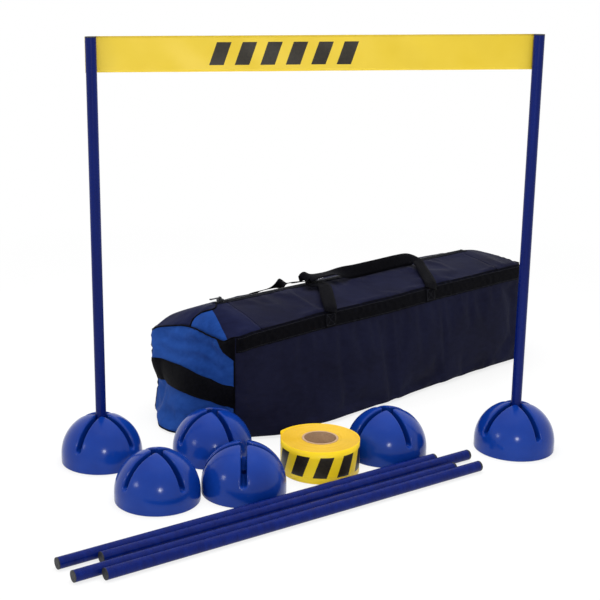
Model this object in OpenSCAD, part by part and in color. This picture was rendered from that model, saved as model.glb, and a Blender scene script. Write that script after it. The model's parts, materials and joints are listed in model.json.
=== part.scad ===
// Portable court divider set: a tape net on two domed bases, with spare bases,
// spare poles, a roll of tape and a zipped holdall.
// Millimetres. X runs along the net, Y away from the front, Z up.
// The origin is under the socket of the left standing base, on the floor.

/* [Bases] */
// Diameter of a base at the floor
base_d = 195; // [150:1:230]
// Height of the straight skirt under the hemisphere
skirt_h = 20.5; // [10:0.5:40]
// Wall of the moulded shell
base_wall = 7; // [4:0.5:10]
// Rounding of the foot of the skirt
foot_round = 3; // [1:0.5:5]
// Width of the crossed slots
slot_w = 13; // [8:0.5:18]
// Height of the slot floors above the ground
slot_floor = 47; // [35:1:60]
// Thickness of the radial ribs inside
rib_t = 4; // [2:0.5:8]
// Height of the ribs' lower edges above the ground
rib_lift = 2; // [1:0.5:10]
// Thickness of the floor of the pole socket
socket_floor = 6; // [3:0.5:12]
// Radial clearance of a pole in its socket
socket_clear = 0.25; // [0.1:0.05:0.4]
// Extra radius of the crown's hole above the socket
crown_extra = 0.8; // [0.4:0.1:2]

/* [Poles] */
// Distance between the standing posts, centre to centre
post_gap = 1017; // [950:1:2000]
// Length of every pole, plugs included
pole_len = 1000; // [800:1:1300]
// Outer diameter of the pole tube
pole_d = 25; // [20:0.5:30]
// Wall of the pole tube
pole_wall = 1.8; // [1:0.1:3]
// Height of the rounded foot plug's head
foot_head = 7; // [4:0.5:12]
// Height of the flat top plug's head
top_head = 2; // [1:0.5:4]
// Length of the plugs' stems inside the tube
plug_stem = 18; // [10:1:40]
// Radial clearance of a stem in the tube
stem_clear = 0.1; // [0.05:0.05:0.3]

/* [Tape] */
// Width of the tape
tape_w = 80; // [50:1:120]
// Thickness of the tape
tape_t = 0.6; // [0.3:0.1:1.5]
// Gap between the tape and the back of a post
tape_seat = 0.2; // [0.1:0.1:0.4]
// Outer diameter of the tape roll
roll_d = 189; // [140:1:230]
// Bore of the roll's card core
core_bore = 76; // [60:1:100]
// Wall of the card core
core_wall = 5; // [3:0.5:8]
// Gap between the outer turns of the roll
turn_gap = 0.5; // [0.45:0.05:1]
// Number of loose outer turns
outer_turns = 2; // [1:1:4]

/* [Holdall] */
// Length of the holdall
bag_len = 1079; // [900:1:1300]
// Width of the holdall
bag_w = 310; // [260:1:380]
// Height of the front and back walls
bag_h = 284; // [220:1:330]
// Rise of the crowned top above the walls
bag_crown = 34; // [25:1:60]
// Thickness of the lined fabric
bag_wall = 3; // [2:0.5:5]
// Radius of the upright corners
bag_round = 35; // [20:1:60]
// Radius of the long lower edges
bag_edge = 30; // [15:1:45]
// Height of the end panels at their top seams
bag_end_h = 262; // [210:1:290]
// Length over which the top rises from an end seam to the crown
bag_end_run = 90; // [80:1:91]
// Length of the closed part of the top at each end
bag_end = 92; // [92:1:130]
// Clearance round the opening flaps
flap_clear = 0.8; // [0.5:0.1:1.5]

/* [Webbing and zip] */
// Width of the bands along the top edges
band_w = 40; // [25:1:60]
// Thickness of the webbing
web_t = 2; // [1.5:0.1:3]
// Drop of the bands' upper edge below the wall's edge
band_drop = 3.5; // [3:0.5:8]
// Gap between webbing and fabric
web_seat = 0.3; // [0.2:0.1:0.5]
// Width of the handle webbing
handle_w = 38; // [25:1:50]
// Distance between a handle's legs, centre to centre
handle_span = 380; // [250:1:500]
// Distance from the bag's left end to a handle's first leg
handle_start = 320; // [200:1:450]
// Rise of the handles above the crown
handle_rise = 24; // [18:1:50]
// Width of the grab straps at the ends
grab_w = 50; // [30:1:60]
// Height of the grab straps' lower edge
grab_z = 95; // [60:1:140]
// Width of one half of the zip
zip_w = 15; // [10:0.5:20]
// Height of the zip's coil
coil_h = 1.8; // [1:0.1:3]
// Length of the zip slider
slider_len = 16; // [12:0.5:24]
// Width of the zip slider
slider_w = 13; // [10:0.5:18]
// Height of the zip slider
slider_h = 5; // [3:0.5:8]
// Length of the zip pull, from its pivot
pull_len = 30; // [20:1:40]
// Diameter of the zip pull's pivot bar
pull_pin = 3; // [2:0.1:4]

/* [Layout] */
// Place of the tape roll, along the net and across it
roll_at = [516.5, -99];
// Floor gap between neighbouring bases
base_gap = 3.8; // [1:0.1:20]
// Floor gap between the poles and the nearest base
row_gap = 4.5; // [1:0.5:20]
// Floor gap between poles that lie side by side
pole_gap = 0.6; // [0.4:0.1:5]
// Floor gap between the two pairs of poles
pair_gap = 16; // [1:1:60]
// Direction of the lying poles
pole_turn = 28.5; // [20:0.5:35]
// Direction of the holdall
bag_turn = 34.3; // [30:0.5:45]
// Floor gap between the holdall and the nearest base
bag_gap = 10; // [5:1:60]

/* [Hidden] */
$fn = 96;

moulding = "royalblue";
tube_blue = "navy";
black = [0.08, 0.08, 0.09];
yellow = "gold";
cloth = "midnightblue";

cut = 1;                                  // overshoot of a cut past a face
base_r = base_d / 2;
base_h = skirt_h + base_r;
pole_r = pole_d / 2;
socket_r = pole_r + socket_clear;
pole_seat = 0.3;                          // a post's foot above the socket floor
post_top = socket_floor + pole_seat + pole_len;
roll_r = roll_d / 2;
core_r = core_bore / 2 + core_wall;

// Turn of each base's slots, for the left, right and four spare bases
left_turn = -36.5;
right_turn = -68;
spare_turn = [-53.1, -61.8, -95.3, -65.1];

// A point at a distance and an angle from another point
function polar(from, dist, angle) = from + dist * [cos(angle), sin(angle)];

// Spare bases: the third stands beside the roll, and the rest stand off it or the roll
spare_3 = polar(roll_at, base_r + roll_r + 31, 210.7);
spare_1 = polar(spare_3, base_d + base_gap, 187.8);
spare_2 = polar(spare_3, base_d + 33, 104.2);
spare_4 = polar(roll_at, base_r + roll_r + base_gap + 0.5, 25.65);
spare_at = [spare_1, spare_2, spare_3, spare_4];

// Lying poles: distance across the row, and of their feet along it, from the third spare base
pole_pitch = pole_d + pole_gap;
first_row = base_r + row_gap + pole_r;
pole_across = [first_row, first_row + pole_pitch,
               first_row + pole_pitch + pole_d + pair_gap,
               first_row + 2 * pole_pitch + pole_d + pair_gap];
foot_along = [476, 561, 478, 535];

// The holdall's lower front corner at its left end
round_centre = polar(spare_2, base_r + bag_gap + bag_round, bag_turn + 27.55);
bag_at = round_centre - bag_round * [cos(bag_turn) - sin(bag_turn),
                                     sin(bag_turn) + cos(bag_turn)];
crown_r = (pow(bag_w / 2, 2) + pow(bag_crown, 2)) / (2 * bag_crown);
crown_z = bag_h + bag_crown - crown_r;    // height of the crown's centre of curvature
crest_z = bag_h + bag_crown;
end_over = 4;                             // the ends' arcs pass this far above the crest
end_rise = crest_z + end_over - bag_end_h;
end_r = (pow(bag_end_run, 2) + pow(end_rise, 2)) / (2 * end_rise);
// Distance from the bag's end to where the crest begins
ridge_x = bag_end_run - sqrt(pow(end_r, 2) - pow(end_r - end_over, 2));
hinge_out = 3 * web_t + 2 * web_seat - 0.1;  // hinge line of flap and handle, off the wall
root_r = 3.5;                             // rolled root of a handle at its hinge line
handle_tip = 7;                           // a handle's edge to the middle of the bag

// ---- Bases ----

// Skirt and hemisphere as one profile, drawn in by inset all round
module dome_solid(inset, foot) {
    r = base_r - inset;
    rotate_extrude()
        union() {
            square([r - foot, foot + cut]);
            intersection() {
                translate([r - foot, foot]) circle(foot);
                translate([0, 0]) square([r, foot]);
            }
            translate([0, foot]) square([r, skirt_h - foot]);
            intersection() {
                translate([0, skirt_h]) circle(r);
                translate([0, skirt_h]) square([r, r]);
            }
        }
}

// Four slots in a cross, each a channel with a round floor
module slot_cross(width, floor_z) {
    for (turn = [0, 90])
        rotate(turn) {
            translate([-base_d / 2, -width / 2, floor_z + width / 2])
                cube([base_d, width, base_h]);
            translate([-base_d / 2, 0, floor_z + width / 2])
                rotate([0, 90, 0]) cylinder(d = width, h = base_d);
        }
}

// The hollow under the shell, round the socket tube, the slot walls and the ribs
module base_hollow() {
    difference() {
        translate([0, 0, -cut]) union() {
            cylinder(r = base_r - base_wall, h = skirt_h + cut);
            translate([0, 0, skirt_h + cut])
                intersection() {
                    sphere(r = base_r - base_wall);
                    cylinder(r = base_r, h = base_r);
                }
        }
        translate([0, 0, -2 * cut]) cylinder(r = socket_r + base_wall, h = base_h);
        slot_cross(slot_w + 2 * rib_t, slot_floor - rib_t);
        for (turn = [45 : 90 : 315])
            rotate(turn) translate([0, -rib_t / 2, rib_lift])
                cube([base_r, rib_t, base_h]);
    }
}

module dome_base() {
    color(moulding)
        difference() {
            dome_solid(0, foot_round);
            base_hollow();
            slot_cross(slot_w, slot_floor);
            translate([0, 0, socket_floor]) cylinder(r = socket_r, h = base_h);
            translate([0, 0, slot_floor])
                cylinder(r = socket_r + crown_extra, h = base_h);
        }
}

module base_at(place, turn) {
    translate([place[0], place[1], 0]) rotate(turn) dome_base();
}

// ---- Poles ----

// A pole stands on its foot plug, with its tube between the two heads
module pole_tube() {
    color(tube_blue)
        translate([0, 0, foot_head])
            difference() {
                cylinder(d = pole_d, h = pole_len - foot_head - top_head);
                translate([0, 0, -cut])
                    cylinder(r = pole_r - pole_wall, h = pole_len + cut);
            }
}

module pole_plugs() {
    stem_r = pole_r - pole_wall - stem_clear;
    color(black) {
        // Foot plug: a head with a rounded rim, and a hollow stem
        difference() {
            union() {
                rotate_extrude() union() {
                    square([pole_r - foot_head / 2, foot_head]);
                    intersection() {
                        translate([pole_r - foot_head / 2, foot_head / 2])
                            circle(foot_head / 2);
                        square([pole_r, foot_head / 2]);
                    }
                    translate([0, foot_head / 2]) square([pole_r, foot_head / 2]);
                }
                translate([0, 0, foot_head - cut / 2])
                    cylinder(r = stem_r, h = plug_stem + cut / 2);
            }
            translate([0, 0, foot_head])
                cylinder(r = stem_r - pole_wall, h = plug_stem + cut);
        }
        // Top plug: a flat disc on a hollow stem
        translate([0, 0, pole_len - top_head])
            difference() {
                union() {
                    cylinder(r = pole_r, h = top_head);
                    translate([0, 0, -plug_stem])
                        cylinder(r = stem_r, h = plug_stem + cut / 2);
                }
                translate([0, 0, -plug_stem - cut])
                    cylinder(r = stem_r - pole_wall, h = plug_stem + cut);
            }
    }
}

module post_at(x) {
    translate([x, 0, socket_floor + pole_seat]) children();
}

// Lying poles point their flat ends to the left and their feet to the right
module lying_at(i) {
    across = [sin(pole_turn), -cos(pole_turn)];
    along = [cos(pole_turn), sin(pole_turn)];
    foot = spare_3 + across * pole_across[i] + along * foot_along[i];
    translate([foot[0], foot[1], pole_r])
        rotate([0, 0, pole_turn]) rotate([0, -90, 0]) children();
}

// ---- Tape ----

// The stretched tape runs behind both posts
tape_in_r = pole_r + tape_seat;

module net_tape() {
    color(yellow)
        translate([0, tape_in_r, post_top - tape_w]) cube([post_gap, tape_t, tape_w]);
}

// The end of the tape that turns round the outer back of a post
module tape_end() {
    color(yellow)
        translate([0, 0, post_top - tape_w])
            linear_extrude(tape_w)
                intersection() {
                    difference() {
                        circle(tape_in_r + tape_t);
                        circle(tape_in_r);
                    }
                    square(tape_in_r + tape_t);
                }
}

// Radius of the tape's outer turns at a turn count from the inside
turn_pitch = tape_t + turn_gap;
wound_r = roll_r - outer_turns * turn_pitch - tape_t;
function spiral(t, lift) = let (r = wound_r + lift + t * turn_pitch)
    r * [cos(360 * t), sin(360 * t)];
turn_steps = 48;
steps = outer_turns * turn_steps;

module tape_roll() {
    color(yellow)
        linear_extrude(tape_w)
            difference() {
                union() {
                    circle(wound_r + tape_t / 2);
                    polygon(concat(
                        [for (i = [0 : steps]) spiral(i / turn_steps, 0)],
                        [for (i = [steps : -1 : 0]) spiral(i / turn_steps, tape_t)]));
                }
                circle(core_r + stem_clear);
            }
}
echo(turn_to_turn_gap = turn_pitch - tape_t);

module roll_core() {
    color("peru")
        difference() {
            cylinder(r = core_r, h = tape_w);
            translate([0, 0, -cut]) cylinder(d = core_bore, h = tape_w + 2 * cut);
        }
}

module roll_place() {
    translate([roll_at[0], roll_at[1], 0]) children();
}

// ---- Holdall: X along the bag, Y from its front to its back ----

module bag_place() {
    translate([bag_at[0], bag_at[1], 0]) rotate(bag_turn) children();
}

// The mirror image of a front piece, at the back
module at_back() {
    translate([0, bag_w, 0]) mirror([0, 1, 0]) children();
}

// The mirror image of a left piece, at the right
module at_right() {
    translate([bag_len, 0, 0]) mirror([1, 0, 0]) children();
}

// A rectangle with round corners
module round_rect(x, y, r) {
    translate([r, 0]) square([x - 2 * r, y]);
    translate([0, r]) square([x, y - 2 * r]);
    for (cx = [r, x - r], cy = [r, y - r])
        translate([cx, cy]) circle(r);
}

// The bag from above: its ends and upright corners, whose arcs cross the front and the back
arc_over = 1.01;

module bag_plan(inset) {
    intersection() {
        translate([inset, -2 * cut]) square([bag_len - 2 * inset, bag_w + 4 * cut]);
        union() {
            translate([bag_round, -cut])
                square([bag_len - 2 * bag_round, bag_w + 2 * cut]);
            translate([0, bag_round]) square([bag_len, bag_w - 2 * bag_round]);
            for (x = [bag_round, bag_len - bag_round], y = [bag_round, bag_w - bag_round])
                translate([x, y]) circle(arc_over * (bag_round - inset));
        }
    }
}

// The bag's section, with round lower edges and a crowned top, drawn in by inset
module bag_section(inset) {
    r = bag_edge - inset;
    width = bag_w - 2 * inset;
    translate([inset, inset]) {
        translate([r, 0]) square([width - 2 * r, 2 * r]);
        for (cy = [r, width - r])
            translate([cy, r]) circle(r);
        translate([0, r]) square([width, bag_h / 2]);
    }
    intersection() {
        translate([bag_w / 2, crown_z]) circle(crown_r - inset);
        translate([inset, bag_h / 2]) square([width, bag_h]);
    }
}

// The bag's side view, whose top falls away to the end seams, drawn in by inset
module bag_side(inset) {
    low = crest_z + end_over - end_r;
    translate([-cut, 0]) square([bag_len + 2 * cut, low]);
    translate([bag_end_run, 0]) square([bag_len - 2 * bag_end_run, crest_z + end_over]);
    for (side = [0, 1])
        translate([side * bag_len, 0]) mirror([side, 0])
            intersection() {
                translate([bag_end_run, low]) circle(end_r - inset);
                translate([-cut, low]) square([bag_end_run + cut, end_r]);
            }
}

module bag_solid(inset) {
    intersection() {
        translate([0, bag_w + cut, 0]) rotate([90, 0, 0])
            linear_extrude(bag_w + 2 * cut) bag_side(inset);
        translate([-cut, 0, 0]) rotate([90, 0, 90])
            linear_extrude(bag_len + 2 * cut) bag_section(inset);
        linear_extrude(crest_z + cut) bag_plan(inset);
    }
}

module bag_shell() {
    difference() {
        bag_solid(0);
        bag_solid(bag_wall);
    }
}

// A ring over the crown, between two heights above it
module crown_sheet(low, high, from, length) {
    translate([from, bag_w / 2, crown_z]) rotate([0, 90, 0])
        difference() {
            cylinder(r = crown_r + high, h = length);
            translate([0, 0, -cut]) cylinder(r = crown_r + low, h = length + 2 * cut);
        }
}

module bag_base() {
    color(cloth) intersection() {
        bag_shell();
        cube([bag_len, bag_w, bag_wall]);
    }
}

module bag_wall_panel() {
    color(cloth) intersection() {
        bag_shell();
        union() {
            translate([bag_end, 0, bag_wall])
                cube([bag_len - 2 * bag_end, bag_edge, bag_edge]);
            translate([bag_end, 0, bag_wall])
                cube([bag_len - 2 * bag_end, bag_wall, bag_h - bag_wall]);
        }
    }
}

module bag_end_panel() {
    color("royalblue") intersection() {
        bag_shell();
        translate([-cut, -cut, bag_wall]) cube([bag_end + cut, bag_w + 2 * cut, crest_z]);
    }
}

module bag_flap() {
    start = bag_end + flap_clear;
    color(cloth) intersection() {
        bag_shell();
        translate([start, bag_wall + flap_clear, bag_h - 2 * bag_wall])
            cube([bag_len - 2 * start, bag_w / 2 - bag_wall - 2 * flap_clear, bag_h]);
    }
}

// The bag's outline from above, drawn out by off all round
module bag_outline(off) {
    translate([bag_round, -off]) square([bag_len - 2 * bag_round, bag_w + 2 * off]);
    translate([-off, bag_round]) square([bag_len + 2 * off, bag_w - 2 * bag_round]);
    for (x = [bag_round, bag_len - bag_round], y = [bag_round, bag_w - bag_round])
        translate([x, y]) circle(arc_over * bag_round + off);
}

// A strip of webbing round the bag, lying on it between two offsets
module round_strip(low, high, height) {
    linear_extrude(height)
        difference() {
            bag_outline(high);
            bag_outline(low);
        }
}

band_start = 8;                           // end of a band, from the bag's end
handle_legs = [handle_start, handle_start + handle_span];

// The band on the upper edge of the front, with the handle's sewn legs on it
module top_band() {
    color(black) {
        intersection() {
            translate([0, 0, bag_h - band_drop - band_w])
                round_strip(web_seat, web_seat + web_t, band_w);
            translate([band_start, -bag_round, 0])
                cube([bag_len - 2 * band_start, 2 * bag_round - web_t, bag_h]);
        }
        for (x = handle_legs)
            translate([x - handle_w / 2, -web_seat - 2 * web_t, bag_h - band_drop - band_w])
                cube([handle_w, web_t, band_w]);
    }
}

// A carrying handle arches over the crown, from the hinge line towards the middle
arch_half = bag_w / 2 + hinge_out;
arch_rise = bag_crown + handle_rise;
arch_r = (pow(arch_half, 2) + pow(arch_rise, 2)) / (2 * arch_rise);

module handle() {
    reach = bag_w / 2 - handle_tip + hinge_out;
    long = handle_span + handle_w;
    color(black) {
        intersection() {
            translate([0, bag_w / 2, bag_h + arch_rise - arch_r]) rotate([0, 90, 0])
                difference() {
                    cylinder(r = arch_r + web_t / 2, h = bag_len);
                    translate([0, 0, -cut])
                        cylinder(r = arch_r - web_t / 2, h = bag_len + 2 * cut);
                }
            translate([handle_start - handle_w / 2, -hinge_out, bag_h])
                linear_extrude(2 * arch_rise)
                    difference() {
                        union() {
                            square([long, reach - bag_edge]);
                            round_rect(long, reach, bag_edge);
                        }
                        translate([handle_w, -cut])
                            square([handle_span - handle_w, reach - handle_w + cut]);
                    }
        }
        for (x = handle_legs)
            translate([x - handle_w / 2, -hinge_out, bag_h]) rotate([0, 90, 0])
                cylinder(r = root_r, h = handle_w);
    }
}

module grab_strap() {
    color(black) intersection() {
        translate([0, 0, grab_z]) round_strip(web_seat, web_seat + web_t, grab_w);
        translate([-bag_round, web_t, 0])
            cube([2 * bag_round - web_t, bag_w - 2 * web_t, bag_h]);
    }
}

// Half of the zip, with its coil along the middle of the top
module zip_half(from, length) {
    color(black) {
        intersection() {
            crown_sheet(web_seat, web_seat + 1, from, length);
            translate([from, bag_w / 2 - zip_w, bag_h])
                cube([length, zip_w - flap_clear, bag_h]);
        }
        translate([from, bag_w / 2 - flap_clear - coil_h, crest_z + web_seat + 0.5])
            cube([length, coil_h, coil_h]);
    }
}

stop_len = 3;                             // metal stop at each end of the zip
zip_start = ridge_x + 6;                  // the zip's end, from the bag's end

module zip_ends() {
    for (side = [0, 1]) {
        zip_length = bag_end - zip_start;
        translate([side * bag_len, 0, 0]) mirror([side, 0, 0]) {
            zip_half(zip_start, zip_length);
            at_back() zip_half(zip_start, zip_length);
            // Stop that joins the two halves
            color("silver")
                translate([zip_start, bag_w / 2 - 2 * coil_h, crest_z + web_seat + 0.5])
                    cube([stop_len, 4 * coil_h, coil_h]);
        }
    }
}

slider_x = zip_start + stop_len + 1 + slider_len / 2;
slider_z = crest_z + web_seat + 1 + coil_h;
pin_z = slider_z + slider_h + pull_pin / 2 + 2.5;
pin_clear = 0.1;
eye_r = pull_pin / 2 + pin_clear;

module zip_slider() {
    post = 2;
    color("silver")
        translate([slider_x, bag_w / 2, 0]) {
            difference() {
                translate([0, 0, slider_z]) cylinder(d = slider_w, h = slider_h);
                translate([-slider_w, slider_w * 0.4, slider_z - cut])
                    cube([2 * slider_w, slider_w, slider_h + 2 * cut]);
                translate([-slider_w, -slider_w * 1.4, slider_z - cut])
                    cube([2 * slider_w, slider_w, slider_h + 2 * cut]);
            }
            translate([-slider_len / 2, -slider_w * 0.4, slider_z])
                cube([slider_len, slider_w * 0.8, slider_h]);
            for (side = [-1, 1])
                translate([-pull_pin / 2, side * (slider_w * 0.4 - post / 2) - post / 2,
                           slider_z + slider_h - cut])
                    cube([pull_pin, post, pin_z - slider_z - slider_h + cut]);
            translate([0, -slider_w * 0.4, pin_z]) rotate([-90, 0, 0])
                cylinder(d = pull_pin, h = slider_w * 0.8);
        }
}

module zip_pull() {
    eye_w = slider_w * 0.8 - 4 - 2 * pin_clear - 0.4;
    color("silver")
        translate([slider_x, bag_w / 2, pin_z])
            difference() {
                union() {
                    rotate([90, 0, 0]) cylinder(r = eye_r + 1, h = eye_w, center = true);
                    translate([-pull_len, -eye_w / 2, -1]) cube([pull_len, eye_w, 2]);
                    translate([-pull_len, 0, -1]) cylinder(r = eye_w * 0.7, h = 2);
                }
                rotate([90, 0, 0]) cylinder(r = eye_r, h = slider_w * 2, center = true);
                translate([-pull_len, 0, -1 - cut]) cylinder(r = 1.5, h = 2 + 2 * cut);
            }
}

// ---- Nodes ----

base_at([0, 0], left_turn);  // left_base
base_at([post_gap, 0], right_turn);  // right_base
base_at(spare_at[0], spare_turn[0]);  // spare_base_1
base_at(spare_at[1], spare_turn[1]);  // spare_base_2
base_at(spare_at[2], spare_turn[2]);  // spare_base_3
base_at(spare_at[3], spare_turn[3]);  // spare_base_4
post_at(0) pole_tube();  // left_post
post_at(0) pole_plugs();  // left_post_plugs
post_at(post_gap) pole_tube();  // right_post
post_at(post_gap) pole_plugs();  // right_post_plugs
net_tape();
mirror([1, 0, 0]) tape_end();  // left_tape_end
translate([post_gap, 0, 0]) tape_end();  // right_tape_end
lying_at(0) pole_tube();  // spare_pole_1
lying_at(0) pole_plugs();  // spare_pole_1_plugs
lying_at(1) pole_tube();  // spare_pole_2
lying_at(1) pole_plugs();  // spare_pole_2_plugs
lying_at(2) pole_tube();  // spare_pole_3
lying_at(2) pole_plugs();  // spare_pole_3_plugs
lying_at(3) pole_tube();  // spare_pole_4
lying_at(3) pole_plugs();  // spare_pole_4_plugs
roll_place() tape_roll();
roll_place() roll_core();
bag_place() bag_base();
bag_place() bag_wall_panel();  // bag_front
bag_place() at_back() bag_wall_panel();  // bag_back
bag_place() bag_end_panel();  // bag_left_end
bag_place() at_right() bag_end_panel();  // bag_right_end
bag_place() bag_flap();  // bag_front_flap
bag_place() at_back() bag_flap();  // bag_back_flap
bag_place() top_band();  // front_band
bag_place() at_back() top_band();  // back_band
bag_place() handle();  // front_handle
bag_place() at_back() handle();  // back_handle
bag_place() grab_strap();  // left_grab_strap
bag_place() at_right() grab_strap();  // right_grab_strap
bag_place() zip_half(bag_end + flap_clear, bag_len - 2 * (bag_end + flap_clear));  // front_zip
bag_place() at_back() zip_half(bag_end + flap_clear, bag_len - 2 * (bag_end + flap_clear));  // back_zip
bag_place() zip_ends();
bag_place() zip_slider();
bag_place() zip_pull();
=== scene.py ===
"""The looks of a portable court divider set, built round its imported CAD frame.

Lengths are in metres, except where a name ends in _MM.
"""

import json
import math

import bmesh
import bpy
import numpy as np
from mathutils import Matrix, Vector

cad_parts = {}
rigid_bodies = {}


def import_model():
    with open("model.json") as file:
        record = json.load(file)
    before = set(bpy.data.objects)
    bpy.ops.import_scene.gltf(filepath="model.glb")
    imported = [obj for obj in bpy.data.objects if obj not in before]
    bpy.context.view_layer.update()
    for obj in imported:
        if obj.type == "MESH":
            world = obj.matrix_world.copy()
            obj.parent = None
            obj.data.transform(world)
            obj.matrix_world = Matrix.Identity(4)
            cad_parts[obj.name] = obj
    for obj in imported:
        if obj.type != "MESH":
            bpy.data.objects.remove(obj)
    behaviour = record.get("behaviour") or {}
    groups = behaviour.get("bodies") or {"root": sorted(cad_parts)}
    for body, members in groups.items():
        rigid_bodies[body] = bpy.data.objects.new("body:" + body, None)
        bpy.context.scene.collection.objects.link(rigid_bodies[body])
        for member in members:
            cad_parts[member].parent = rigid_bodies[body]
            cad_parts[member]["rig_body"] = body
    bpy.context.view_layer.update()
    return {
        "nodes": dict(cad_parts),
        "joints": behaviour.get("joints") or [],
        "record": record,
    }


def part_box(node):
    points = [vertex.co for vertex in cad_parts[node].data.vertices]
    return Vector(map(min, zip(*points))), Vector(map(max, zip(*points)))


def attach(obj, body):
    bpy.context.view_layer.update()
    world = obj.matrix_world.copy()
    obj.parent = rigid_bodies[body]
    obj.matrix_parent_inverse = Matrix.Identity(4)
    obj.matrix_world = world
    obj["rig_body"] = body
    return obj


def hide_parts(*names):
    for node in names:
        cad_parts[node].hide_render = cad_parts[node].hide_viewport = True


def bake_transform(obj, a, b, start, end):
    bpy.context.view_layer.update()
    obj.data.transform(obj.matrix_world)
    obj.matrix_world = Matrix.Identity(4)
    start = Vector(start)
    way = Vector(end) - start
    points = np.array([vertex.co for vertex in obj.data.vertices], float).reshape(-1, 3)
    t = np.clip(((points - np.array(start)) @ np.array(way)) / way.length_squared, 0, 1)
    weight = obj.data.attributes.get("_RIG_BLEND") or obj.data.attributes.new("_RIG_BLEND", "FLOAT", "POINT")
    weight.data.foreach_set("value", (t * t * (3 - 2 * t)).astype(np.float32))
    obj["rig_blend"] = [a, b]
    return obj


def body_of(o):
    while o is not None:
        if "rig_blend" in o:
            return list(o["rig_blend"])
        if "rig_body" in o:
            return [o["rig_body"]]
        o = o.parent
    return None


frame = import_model()
MM = 0.001
RNG = np.random.default_rng(7)


# ---- The camera, first ----

CAMERA_AT = Vector((0.0755, -2.900, 1.194))
CAMERA_YAW = math.radians(4.54)  # from +Y towards +X
CAMERA_PITCH = math.radians(15.37)  # below the horizon
SENSOR_MM, LENS_MM, LENS_SHIFT = 36.0, 76.68, 0.12


def make_camera():
    data = bpy.data.cameras.new("camera")
    data.sensor_width, data.lens, data.shift_x = SENSOR_MM, LENS_MM, LENS_SHIFT
    data.clip_start, data.clip_end = 0.05, 60.0
    camera = bpy.data.objects.new("camera", data)
    camera.location = CAMERA_AT
    camera.rotation_euler = (math.pi / 2 - CAMERA_PITCH, 0.0, -CAMERA_YAW)
    bpy.context.scene.collection.objects.link(camera)
    bpy.context.scene.camera = camera


# ---- Mesh helpers ----


def mesh_object(name, points, faces, material, smooth=True):
    """A new object from points and faces in the row frame."""
    mesh = bpy.data.meshes.new(name)
    points = [tuple(p) for p in np.asarray(points, float)]
    mesh.from_pydata(points, [], [tuple(map(int, f)) for f in faces])
    mesh.validate()
    mesh.polygons.foreach_set("use_smooth", [smooth] * len(mesh.polygons))
    mesh.materials.append(material)
    mesh.update()
    made = bpy.data.objects.new(name, mesh)
    bpy.context.scene.collection.objects.link(made)
    return made


def grid_faces(rows, cols, closed_rows=False, closed_cols=False, start=0):
    """Quads of a rows by cols grid of points, numbered row by row."""
    r = np.arange(rows if closed_rows else rows - 1)
    c = np.arange(cols if closed_cols else cols - 1)
    r, c = (x.ravel() for x in np.meshgrid(r, c, indexing="ij"))
    r2, c2 = (r + 1) % rows, (c + 1) % cols
    return start + np.stack([r * cols + c, r * cols + c2, r2 * cols + c2, r2 * cols + c], 1)


def border(rows, cols):
    """The outline of a rows by cols grid, in order round it."""
    grid = np.arange(rows * cols).reshape(rows, cols)
    return np.concatenate([grid[0, :-1], grid[:-1, -1], grid[-1, :0:-1], grid[:0:-1, 0]])


def slab_faces(rows, cols):
    """Faces of a closed thin sheet between two grids of points, numbered one after the other."""
    count, rim = rows * cols, border(rows, cols)
    walls = np.stack([rim, np.roll(rim, -1), np.roll(rim, -1) + count, rim + count], 1)
    return [*grid_faces(rows, cols), *grid_faces(rows, cols, start=count)[:, ::-1], *walls]


def recalculate(piece):
    """Turns a closed mesh's faces outwards."""
    mesh = bmesh.new()
    mesh.from_mesh(piece.data)
    bmesh.ops.recalc_face_normals(mesh, faces=mesh.faces)
    mesh.to_mesh(piece.data)
    mesh.free()


BLOCK = np.array([(0, 3, 2, 1), (4, 5, 6, 7), (0, 1, 5, 4), (1, 2, 6, 5), (2, 3, 7, 6), (3, 0, 4, 7)])


def blocks(name, corners, material, smooth=True):
    """Six-sided blocks from an array of their eight corners each, four round either end."""
    faces = (np.arange(len(corners))[:, None, None] * 8 + BLOCK).reshape(-1, 4)
    piece = mesh_object(name, corners.reshape(-1, 3), faces, material, smooth)
    recalculate(piece)
    return piece


def unit(v):
    v = np.asarray(v, float)
    return v / np.maximum(np.linalg.norm(v, axis=-1, keepdims=True), 1e-12)


def smooth_step(x, low, high):
    t = np.clip((np.asarray(x, float) - low) / (high - low), 0, 1)
    return t * t * (3 - 2 * t)


def hill(x, middle, width):
    return np.exp(-(((x - middle) / width) ** 2))


def arch(x, power):
    """A half wave over x from 0 to 1, raised to a power."""
    return np.sin(np.pi * np.clip(x, 0, 1)) ** power


def fade(distance, reach):
    """One at no distance, falling evenly to nought at the reach."""
    return np.clip(1 - distance / reach, 0, 1)


def spline(knots, count):
    """Points at even spacing along a smooth curve through the knots."""
    k = np.asarray(knots, float)
    k = np.vstack([2 * k[0] - k[1], k, 2 * k[-1] - k[-2]])
    fine = []
    for a, b, c, d in zip(k[:-3], k[1:-2], k[2:-1], k[3:]):
        t = np.linspace(0, 1, 24, endpoint=False)[:, None]
        fine.append(0.5 * (2 * b + (c - a) * t + (2 * a - 5 * b + 4 * c - d) * t**2
                           + (3 * b - a - 3 * c + d) * t**3))
    fine = np.vstack([*fine, k[-2][None]])
    return resample(fine, count)


def resample(line, count):
    """The same line with that many points at even spacing."""
    gaps = np.linalg.norm(np.diff(line[:, :3], axis=0), axis=1)
    along = np.concatenate([[0], np.cumsum(gaps)])
    want = np.linspace(0, along[-1], count)
    return np.stack([np.interp(want, along, line[:, i]) for i in range(line.shape[1])], 1)


def strap_faces(count, sides):
    """Faces of a closed strap or tube: rings of points joined along it, with capped ends."""
    ends = [np.arange(sides)[::-1], (count - 1) * sides + np.arange(sides)]
    return [*grid_faces(count, sides, closed_cols=True), *ends]


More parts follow.
